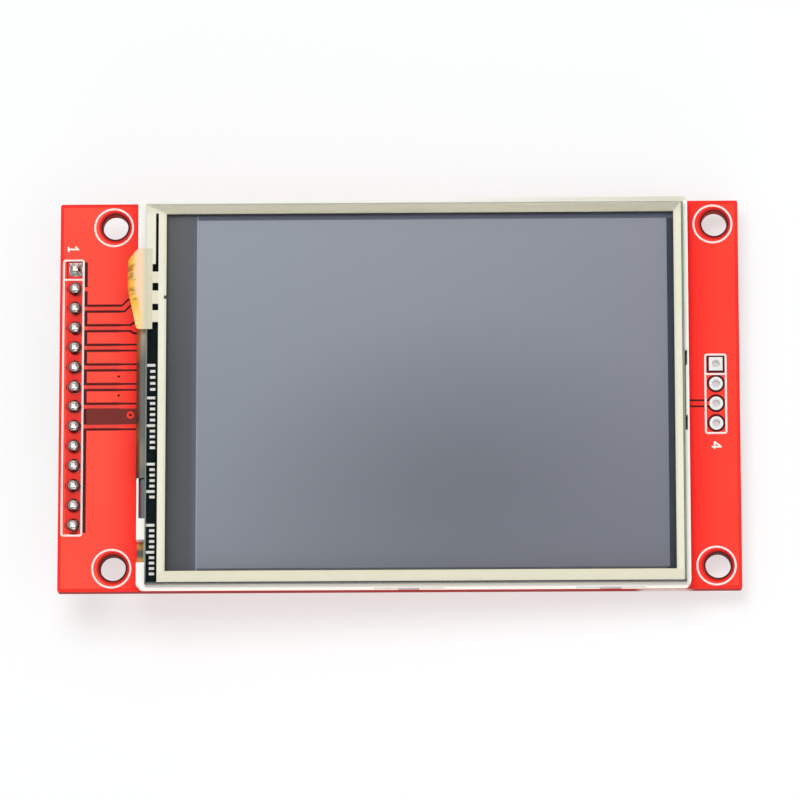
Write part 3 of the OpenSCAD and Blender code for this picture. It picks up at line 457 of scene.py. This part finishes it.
def frame_surface():
    """White moulding: creamier along its upper right rim, painted lighter and warmer along its front strip, and
    grey as painted shade on the walls of the clip recesses.
    """
    s = moulded_surface("frame_white", (252, 250, 245), 0.37, 3.0, 0.004, 0.012)
    white = s.base()
    rim = s.math("MULTIPLY", s.remap(s.x, *FRAME_RIM_X, 0, 1), s.step(s.y, FRAME_RIM_Y, 0.1))
    white = s.mix(rim, white, srgb(228, 226, 206))
    # Painted light: the front strip of the rim's top, in the shade of the touch panel, is painted lighter and
    # warmer.
    front = s.step(s.math("MULTIPLY", s.y, -1.0), FRAME_LIT_FRONT_Y, 0.05)
    white = s.mix(s.math("MULTIPLY", front, 0.8), white, srgb(255, 248, 238))
    # Painted shade: grey on the walls of the clip recesses.
    side = s.step(s.math("ABSOLUTE", s.ny), 0.5)
    recess_shade = s.math("MULTIPLY", s.inside(s.math("ABSOLUTE", s.y), *RECESS_SHADE_Y, 0.03), side)
    return s.set("Base Color", s.mix(recess_shade, white, srgb(176, 174, 170)))


SHADE_X = (-26, 38)
SHADE_Y = (-34, 10)
DOT_PITCH = 0.18


def screen_surface():
    """The polariser over the colour filter: grey where the dots are, darker round them, with a painted
    reflection graded over the dots and a darker soft patch in it, a painted glow along their left edge, a
    painted veil of reflection on the left band, and painted shadow on the right band.
    """
    s = Surface("screen", rough=0.34, Specular_IOR_Level=0.3)
    # Painted reflection: the dots are lighter at the upper left and darker toward the lower right.
    across = s.remap(s.x, LIT_LOW.x, LIT_HIGH.x, 0, 1)
    down = s.remap(s.y, LIT_HIGH.y, LIT_LOW.y, 0, 1)
    top = s.mix(across, srgb(161, 168, 179), srgb(152, 155, 166))
    low = s.mix(across, srgb(141, 147, 157), srgb(129, 132, 143))
    dots = s.mix(down, top, low)
    # A darker soft patch in that painted reflection.
    in_shade = s.add("ShaderNodeCombineXYZ", {
        0: s.remap(s.x, *SHADE_X, -1, 1), 1: s.remap(s.y, *SHADE_Y, -1, 1)}).outputs[0]
    from_shade = s.add("ShaderNodeVectorMath", {0: in_shade}, operation="LENGTH").outputs["Value"]
    dots = s.mix(s.remap(from_shade, 0.15, 1.0, 0.55, 0), dots, srgb(106, 109, 119))
    cells = s.math("FRACT", s.math("DIVIDE", s.y, DOT_PITCH))
    dots = s.mix(s.math("MULTIPLY", s.inside(cells, 0.0, 0.18, 0.06), 0.08), dots, srgb(60, 64, 70))
    # The left band takes the painted veil of reflection, lighter toward the top.
    left = s.mix(s.remap(s.x, -31.0, -27.8, 0, 1), srgb(84, 86, 90), srgb(95, 96, 100))
    left = s.mix(s.remap(s.y, *VEIL_REFLECTION_Y, 0, 0.6), left, VEIL_REFLECTION_COLOR)
    # Painted shadow of the touch border darkens the right band.
    masked = s.mix(s.step(s.x, LIT_HIGH.x - 0.3, 0.2), left, srgb(56, 64, 74))
    masked = s.mix(s.step(s.y, LIT_HIGH.y, 0.1), masked, srgb(98, 103, 121))
    lit = s.box(LIT_LOW, LIT_HIGH)
    # Painted glow along the left edge of the dots.
    glow = s.inside(s.x, LIT_LOW.x - 0.1, LIT_LOW.x + 0.18, 0.06)
    face = s.mix(lit, masked, dots)
    s.set("Base Color", s.mix(s.math("MULTIPLY", glow, 0.6), face, srgb(168, 176, 194)))
    s.vary_rough(0.3, 0.38, 0.3)
    s.bump(s.noise(11.0, 2.0), 0.0015)
    return s


def tape_surface():
    """Black tape: specked where it lies bare, and painted grey where the touch film covers it, as a painted
    veil of reflection in the film.
    """
    s = Surface("black_tape", (8, 14, 16), 0.4, Specular_IOR_Level=0.06)
    cloud = s.mix(s.step(s.noise(0.5, 2.0), 0.5, 0.2), srgb(6, 13, 16), srgb(12, 26, 27))
    specks = s.math("MULTIPLY", s.step(s.noise(2.6, 2.0), 0.71, 0.03), 0.5)
    strip = s.mix(specks, cloud, srgb(70, 84, 96))
    # Painted reflection: the film's veil lightens the black to grey, lighter toward the window and bluer near
    # the lit edge.
    from_window = s.remap(s.x, WINDOW_LOW.x, WINDOW_LOW.x + 2.2, 0, 1)
    reflection_veil = s.mix(from_window, srgb(82, 85, 90), srgb(95, 96, 100))
    reflection_veil = s.mix(s.remap(s.y, *VEIL_REFLECTION_Y, 0, 0.6), reflection_veil, VEIL_REFLECTION_COLOR)
    cool = s.step(s.x, LIT_LOW.x - 0.5, 0.3)
    reflection_veil = s.mix(cool, reflection_veil, srgb(104, 108, 120))
    s.set("Base Color", s.mix(s.step(s.x, WINDOW_LOW.x - 0.5, 0.1), strip, reflection_veil))
    s.vary_rough(0.3, 0.5, 0.8)
    s.bump(s.noise(0.9, 3.0), 0.02)
    return s


SANDY_ABOVE = 5.6
SANDY_PATCH_Y = (-9.5, -6.4)
BLUER_BELOW = -10.6


def sealant_surface():
    """Grey-green sealant: sandy at its upper end and in one patch, and bluer at its lower end."""
    s = moulded_surface("sealant_green", (104, 104, 100), 0.42, 1.2, 0.05, 0.15)
    grey = s.base()
    grey = s.mix(s.step(s.y, SANDY_ABOVE, 1.6), grey, srgb(166, 150, 132))
    grey = s.mix(s.inside(s.y, *SANDY_PATCH_Y, 0.8), grey, srgb(128, 126, 112))
    return s.set("Base Color", s.mix(s.flip(s.step(s.y, BLUER_BELOW, 0.8)), grey, srgb(102, 114, 120)))


def window_box(s, grow=0.0, soft=0.02):
    """1 inside the touch panel's window, grown by that distance."""
    return s.box(WINDOW_LOW - Vector((grow, grow)), WINDOW_HIGH + Vector((grow, grow)), soft)


def adhesive_surface():
    """Ivory adhesive, whose inner walls lie in the shade of the window."""
    s = Surface("adhesive_ivory", (226, 222, 202), 0.5)
    shaded = window_box(s, 0.3)
    s.set("Base Color", s.mix(shaded, s.vary(srgb(226, 222, 202), 0.8, 0.05), srgb(84, 86, 96)))
    s.bump(s.noise(6.0), 0.004)
    return s


FINGERS_LOW = (-34.5, 8.9)
FINGERS_HIGH = (-32.3, 15.4)
FLAW_LOW = (-31.6, 11.85)
FLAW_HIGH = (-31.2, 12.3)


def border_surface():
    """Cream ink: yellower along the window and at the fingers, with one dark flaw at its left bar."""
    s = Surface("cream_ink", (232, 230, 212), 0.38, Specular_IOR_Level=0.22)
    cream = s.vary(srgb(237, 235, 216), 0.15, 0.02)
    bars = s.flip(s.inside(s.y, WINDOW_LOW.y - 0.1, WINDOW_HIGH.y + 0.1, 0.3))
    cream = s.mix(s.math("MULTIPLY", bars, 0.8), cream, srgb(226, 221, 198))
    warm = srgb(226, 221, 192)
    near = s.math("MULTIPLY", s.flip(window_box(s, 0.0, 0.01)), window_box(s, 0.28, 0.08))
    cream = s.mix(s.math("MULTIPLY", near, 0.8), cream, warm)
    fingers = s.box(FINGERS_LOW, FINGERS_HIGH, 0.1)
    cream = s.mix(s.math("MULTIPLY", fingers, 0.6), cream, srgb(224, 218, 196))
    flaw = s.box(FLAW_LOW, FLAW_HIGH, 0.08)
    s.set("Base Color", s.mix(flaw, cream, srgb(58, 64, 58)))
    s.bump(s.noise(5.0, 2.0), 0.003)
    return s


FLEX_OUT_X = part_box("touch_flex")[0].x / MM
LINES_LOW = (-40, 10.6)
LINES_HIGH = (-34, 17.2)


def touch_flex_surface():
    """Amber film: bright on the outer fold, peach over its crown, and pale where it is bonded."""
    s = Surface("touch_flex", (250, 190, 70), 0.36, Coat_Weight=0.1, Coat_Roughness=0.2, Specular_IOR_Level=0.3)
    fold = s.mix_value(s.remap(s.y, 13.6, 8.2, 0, 1), FLEX_OUT_X, FLEX_OUT_X + 1.35)
    depth = s.math("SUBTRACT", s.x, fold)
    ragged = s.math("ADD", depth, s.remap(s.noise(0.9, 2.0), 0.3, 0.7, -0.12, 0.12))
    amber = s.mix(s.noise(0.7, 3.0), srgb(242, 170, 26), srgb(255, 206, 84))
    lanes = s.noise(1.0, 3.0, place=s.stretched(0.35, 1.5, 0.35))
    lines = s.math("MULTIPLY", s.step(lanes, 0.56, 0.05), s.box(LINES_LOW, LINES_HIGH, 0.3))
    amber = s.mix(s.math("MULTIPLY", lines, 0.75), amber, srgb(146, 98, 30))
    amber = s.mix(s.remap(s.y, 11.6, 9.0, 0, 0.6), amber, srgb(255, 224, 166))
    crown = s.mix(s.remap(s.y, 10.4, 8.6, 0, 1), srgb(252, 210, 172), srgb(238, 220, 194))
    peach = s.mix(s.step(ragged, 0.95, 0.25), amber, crown)
    pale = s.mix(s.noise(0.8, 2.0, place=s.stretched(0.2, 1, 1)), srgb(218, 209, 176), srgb(218, 215, 192))
    bonded = s.step(s.x, TOUCH_LOW.x - 0.45, 0.12)
    s.set("Base Color", s.mix(bonded, peach, pale))
    s.bump(lanes, 0.03)
    return s


AMBER_ABOVE = 4.4
AMBER_PATCH_Y = (-6.4, -4.2)


def display_flex_surface():
    """Brown film with darker and lighter copper lanes that run across the fold."""
    s = Surface("display_flex", (110, 70, 36), 0.38,
                Coat_Weight=0.06, Coat_Roughness=0.2, Specular_IOR_Level=0.25)
    lanes = s.noise(0.7, 3.0, place=s.stretched(0.15, 1.6, 0.15))
    brown = s.mix(s.step(lanes, 0.5, 0.12), srgb(70, 44, 26), srgb(104, 62, 28))
    patch = s.math("MULTIPLY", s.inside(s.y, *AMBER_PATCH_Y, 0.6), 0.5)
    amber = s.math("MAXIMUM", s.step(s.y, AMBER_ABOVE, 0.8), patch)
    s.set("Base Color", s.mix(s.math("MULTIPLY", amber, 0.8), brown, srgb(168, 106, 40)))
    s.bump(lanes, 0.02)
    return s


TAIL_LANES_Y = (-20.8, -19.7)


def tail_surface():
    """The backlight's green tail, with its two amber lanes."""
    s = Surface("backlight_flex", (92, 104, 72), 0.34, Coat_Weight=0.2, Coat_Roughness=0.2)
    lanes = s.flip(s.inside(s.y, *TAIL_LANES_Y, 0.25))
    s.set("Base Color", s.mix(lanes, s.vary(srgb(74, 80, 62), 0.8, 0.2), srgb(204, 148, 58)))
    s.bump(lanes, 0.02)
    return s


dress(board_surface(), "circuit_board")
dress(tin_surface(), "plated_pads")
dress(ink_surface(), "silkscreen")
dress(solder_surface("solder", (70, 62, 60), (214, 212, 210)), "header_solder", "flex_solder", "back_solder")
dress(gilt_surface("gilt_pin", (226, 182, 96), PAD_TOP), "header_pins")
dress(gilt_surface("gilt_contact", (224, 184, 104)), "socket_contacts")
dress(plated_surface("tinned_lead", (196, 196, 193), 0.3),
      "touch_controller_leads", "regulator_leads", "backlight_transistor_leads", "chip_terminals")
dress(plated_surface("cover_steel", (205, 205, 203), 0.28), "socket_shell")
dress(plated_surface("tray_steel", (200, 201, 202), 0.34), "rear_tray")
dress(moulded_surface("strip_black", (24, 24, 26), 0.45), "header_strip", "socket_base")
dress(moulded_surface("chip_black", (30, 30, 33), 0.5, 12.0, 0.01),
      "touch_controller", "regulator", "backlight_transistor")
dress(moulded_surface("resistor_black", (22, 22, 26), 0.2, 5.0, 0.01), "resistors")
dress(moulded_surface("capacitor_tan", (168, 138, 104), 0.45, 6.0, 0.01, 0.1), "capacitors")
dress(frame_surface(), "backlight_frame")
dress(moulded_surface("foam_white", (226, 225, 220), 0.8, 4.0, 0.05), "display_tape")
dress(adhesive_surface(), "touch_adhesive")
dress(moulded_surface("film_white", (240, 240, 242), 0.3), "reflector_sheet", "diffuser_sheet")
dress(moulded_surface("prism_film", (205, 208, 214), 0.2), "lower_prism_sheet", "upper_prism_sheet")
dress(moulded_surface("led_resin", (236, 222, 150), 0.25), "backlight_leds")
dress(moulded_surface("silicon", (40, 44, 52), 0.12), "driver_chip")
dress(sealant_surface(), "ledge_sealant")
dress(moulded_surface("filter_grey", (84, 90, 98), 0.2), "filter_glass", "rear_polarizer")
dress(screen_surface(), "front_polarizer")
dress(tape_surface(), "ledge_tape", "shade_tape")
dress(border_surface(), "touch_border")
dress(clear_surface("thin_glass", (206, 216, 214), 0.35, (112, 134, 126), 0.9, 0.08), "transistor_glass")
dress(ground_glass_surface(), "touch_glass")
dress(clear_surface("touch_film", (70, 72, 74), 0.015, (150, 158, 154), 0.6, 0.14), "touch_film")
dress(clear_surface("guide_acrylic", (232, 242, 246), 0.5, (190, 215, 225), 0.9, 0.06), "light_guide")
dress(display_flex_surface(), "display_flex")
dress(touch_flex_surface(), "touch_flex")
dress(tail_surface(), "backlight_flex")


# --- Solder joints of the header ---------------------------------------------------------------

def add_piece(name, vertices, faces, surface, slot):
    """A closed mesh, in millimetres, that rides with the board."""
    mesh = bpy.data.meshes.new(name)
    mesh.from_pydata([(x * MM, y * MM, z * MM) for x, y, z in vertices], [], faces)
    mesh.update()
    piece = bpy.data.objects.new(name, mesh)
    bpy.context.scene.collection.objects.link(piece)
    mesh.materials.append(surface.material)
    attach(piece, "root")
    return piece


def merged(parts):
    """Several meshes as one list of vertices and one of faces."""
    vertices, faces = [], []
    for part_vertices, part_faces in parts:
        start = len(vertices)
        vertices.extend(part_vertices)
        faces.extend(tuple(start + i for i in face) for face in part_faces)
    return vertices, faces


JOINT_SIDES = 40
JOINT_RINGS = 14
JOINT_R = 0.86
JOINT_H = 1.12
JOINT_SINK = 0.005


def joint_shape(rng, square):
    """The radius and height of one solder joint, as a function of its angle and its ring."""
    lobes = [(k, rng.uniform(0.0, 0.035), rng.uniform(0, 2 * math.pi)) for k in (1, 2, 3)]

    def point(angle, up):
        if square:
            reach = JOINT_R / max(abs(math.cos(angle)), abs(math.sin(angle)))
            star = 0.5 + 0.5 * math.cos(4 * (angle - math.pi / 4))
            radius = reach * (1 - up) ** (1.1 - 0.35 * star)
            return radius * (0.86 + 0.14 * star), JOINT_H * (0.08 + 0.5 * up ** 1.3)
        swell = 1 + sum(size * math.sin(k * angle + turn) for k, size, turn in lobes)
        bend = up * math.pi / 2
        radius = JOINT_R * math.cos(bend) ** 0.8 * (swell + 0.05 * math.sin(2 * bend))
        return radius, JOINT_H * math.sin(bend) ** 1.15

    return point


def joint_mesh(x, y, z, rng, square=False):
    """One joint: a lumpy crown on its pad, closed by a flat base."""
    point = joint_shape(rng, square)
    lean = (rng.uniform(-0.06, 0.06), rng.uniform(-0.06, 0.06))
    vertices = []
    for ring in range(JOINT_RINGS):
        up = ring / JOINT_RINGS
        for side in range(JOINT_SIDES):
            angle = 2 * math.pi * side / JOINT_SIDES
            radius, height = point(angle, up)
            vertices.append((x + lean[0] * up + radius * math.cos(angle),
                             y + lean[1] * up + radius * math.sin(angle), z + height))
    crown = len(vertices)
    vertices.append((x + lean[0], y + lean[1], z + point(0, 1.0)[1]))
    base = len(vertices)
    vertices.append((x, y, z))
    faces = []
    for side in range(JOINT_SIDES):
        after = (side + 1) % JOINT_SIDES
        for ring in range(JOINT_RINGS - 1):
            low = ring * JOINT_SIDES
            faces.append((low + side, low + after, low + JOINT_SIDES + after, low + JOINT_SIDES + side))
        top = (JOINT_RINGS - 1) * JOINT_SIDES
        faces.append((top + side, top + after, crown))
        faces.append((after, side, base))
    return vertices, faces


def make_joints(surface):
    """The header's solder joints: a square star at pin 1, and round crowns at the others."""
    rng = random.Random(11)
    joints = [joint_mesh(HEADER_X, y, PAD_TOP - JOINT_SINK, rng, square=(i == 0))
              for i, y in enumerate(HEADER_Y)]
    piece = add_piece("header_joints", *merged(joints), surface, "solder")
    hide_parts("header_solder")
    for face in piece.data.polygons:
        face.use_smooth = True


make_joints(joint_surface())


# --- Plain printed marks -----------------------------------------------------------------------

def stroke_outline(path, width):
    """The outline of a path drawn as a line of that width, with mitred bends."""
    points = [Vector(p) for p in path]
    left, right = [], []
    for i, here in enumerate(points):
        before = (here - points[i - 1]).normalized() if i else (points[1] - here).normalized()
        after = (points[i + 1] - here).normalized() if i + 1 < len(points) else before
        side = Vector((-before.y - after.y, before.x + after.x)).normalized()
        reach = width / 2 / max(0.3, side.dot(Vector((-before.y, before.x))))
        left.append(here + side * reach)
        right.append(here - side * reach)
    return left + right[::-1]


def prism(outline, low, high):
    """A closed prism on an outline that runs clockwise or anticlockwise."""
    area = sum(a.x * b.y - b.x * a.y for a, b in zip(outline, outline[1:] + outline[:1]))
    ring = outline if area > 0 else outline[::-1]
    count = len(ring)
    vertices = [(p.x, p.y, low) for p in ring] + [(p.x, p.y, high) for p in ring]
    faces = [tuple(range(count))[::-1], tuple(range(count, 2 * count))]
    faces += [(i, (i + 1) % count, (i + 1) % count + count, i + count) for i in range(count)]
    return vertices, faces


def make_print(name, paths, width, low, height, surface):
    """Lines of ink, each a shade higher than the one before, so that no two faces lie in one plane."""
    lines = [prism(stroke_outline(path, width), low, low + height + i * INK_STAGGER)
             for i, path in enumerate(paths)]
    return add_piece(name, *merged(lines), surface, "white_ink")


def turned_glyph(lines, center, height):
    """A glyph drawn in a unit box, turned to read down the board."""
    def turned(u, v):
        return center[0] + (v - 0.5) * height, center[1] - (u - 0.3) * height

    return [[turned(u, v) for u, v in line] for line in lines]


INK_SINK = 0.005
INK_STAGGER = 0.0004
BOARD_INK_T = 0.025
TAPE_INK_T = 0.03
DIGIT_ONE = [[(0.02, 0.72), (0.3, 0.98), (0.3, 0.02)], [(0.05, 0.06), (0.56, 0.06)]]
DIGIT_FOUR = [[(0.5, 0.02), (0.5, 0.98)], [(0.5, 0.92), (0.02, 0.32)], [(-0.02, 0.3), (0.72, 0.3)]]
DIGIT_LINE = 0.2
DIGIT_H = 1.3
PIN_ONE_AT = (-43.4, 19.15)
PAD_FOUR_AT = (38.0, -6.6)
TICK_X = (-33.72, -32.66)
TICK_GROUPS = [(3.5, 0.4), (-0.7, -7.1), (-9.2, -13.4), (-17.0, -23.2)]
TICK_PITCH = 0.72
TICK_LINE = 0.34
TICK_LONG_EVERY = 5
TICK_SHORT = 0.62


def make_marks(surface):
    """Numbers at the first pin and the last pad, and a plain scale along the black tape."""
    for name, lines, at in (("pin_number", DIGIT_ONE, PIN_ONE_AT), ("pad_number", DIGIT_FOUR, PAD_FOUR_AT)):
        glyph = turned_glyph(lines, at, DIGIT_H)
        make_print(name, glyph, DIGIT_LINE, BOARD_T - INK_SINK, BOARD_INK_T, surface)
    ticks = []
    for top, low in TICK_GROUPS:
        count = int((top - low) / TICK_PITCH + 0.5)
        for i in range(count + 1):
            y = top - i * (top - low) / count
            share = 1.0 if i % TICK_LONG_EVERY == 0 else TICK_SHORT
            ticks.append([(TICK_X[1] - (TICK_X[1] - TICK_X[0]) * share, y), (TICK_X[1], y)])
    make_print("tape_scale", ticks, TICK_LINE, TAPE_TOP - INK_SINK, TAPE_INK_T, surface)


make_marks(ink_surface("marking_ink", (252, 250, 240)))


# --- Floor and light ---------------------------------------------------------------------------

SHELL_LOW, SHELL_HIGH = box_mm("socket_shell")
REST_TILT = math.atan2(PINS_LOW.z - SHELL_LOW.z, SHELL_HIGH.x - HEADER_X)
FLOOR_SIZE = 3000.0
FLOOR_GAP = 0.06
BACKDROP_SHARE = 0.56
WORLD_LIGHT = 0.43


def seen_directly(tree):
    """1 for rays from the camera, and for those that metal and glass send on."""
    path = tree.nodes.new("ShaderNodeLightPath")
    total = path.outputs["Is Camera Ray"]
    for name in ("Is Glossy Ray", "Is Transmission Ray"):
        both = tree.nodes.new("ShaderNodeMath")
        both.operation = "MAXIMUM"
        tree.links.new(total, both.inputs[0])
        tree.links.new(path.outputs[name], both.inputs[1])
        total = both.outputs[0]
    return total


def make_floor():
    """A pale floor that shows partly as white backdrop, so that the part's shadow stays soft."""
    mesh = bpy.data.meshes.new("floor")
    half = FLOOR_SIZE / 2 * MM
    corners = [(-half, -half, 0), (half, -half, 0), (half, half, 0), (-half, half, 0)]
    mesh.from_pydata(corners, [], [(0, 1, 2, 3)])
    floor = bpy.data.objects.new("floor", mesh)
    tip = Vector((PINS_LOW.x, 0, PINS_LOW.z - FLOOR_GAP)) * MM
    floor.matrix_world = Matrix.Translation(tip) @ Matrix.Rotation(REST_TILT, 4, "Y")
    bpy.context.scene.collection.objects.link(floor)
    s = Surface("floor_white", (248, 252, 252), 0.9, Specular_IOR_Level=0.2)
    share = s.math("MULTIPLY", seen_directly(s.tree), BACKDROP_SHARE)
    white = s.add("ShaderNodeEmission", {"Color": (1, 1, 1, 1), "Strength": 1.0})
    blend = s.add("ShaderNodeMixShader", {0: share, 1: s.shader.outputs[0], 2: white.outputs[0]})
    s.tree.links.new(blend.outputs[0], s.tree.nodes["Material Output"].inputs["Surface"])
    mesh.materials.append(s.material)


def make_light(name, size, power, place, target=(0, 0, 0), mirrored=True):
    """A round area light, by its size and place in millimetres and its power in watts.

    One that isn't mirrored leaves no glare on the glass and lacquer.
    """
    data = bpy.data.lights.new(name, "AREA")
    data.shape = "DISK"
    data.size = size * MM
    data.energy = power
    light = bpy.data.objects.new(name, data)
    light.visible_glossy = mirrored
    start = Vector(place) * MM
    aim = Vector(target) * MM - start
    light.matrix_world = Matrix.Translation(start) @ aim.to_track_quat("-Z", "Y").to_matrix().to_4x4()
    bpy.context.scene.collection.objects.link(light)


def make_world():
    """Even white light; the camera and reflections see it as a plain white background."""
    world = bpy.data.worlds.new("studio")
    world.use_nodes = True
    tree = world.node_tree
    tree.nodes["Background"].inputs["Color"].default_value = (1, 1, 1, 1)
    level = tree.nodes.new("ShaderNodeMapRange")
    tree.links.new(seen_directly(tree), level.inputs["Value"])
    level.inputs["To Min"].default_value = WORLD_LIGHT
    level.inputs["To Max"].default_value = 1.0
    tree.links.new(level.outputs[0], tree.nodes["Background"].inputs["Strength"])
    bpy.context.scene.world = world


make_floor()
make_light("key", 460, 3.7, (-130, 240, 800), mirrored=False)
make_light("fill", 700, 0.8, (350, -250, 600))
make_light("front", 500, 1.6, (40, -620, 120))
make_world()
bpy.context.scene.view_settings.view_transform = "Standard"
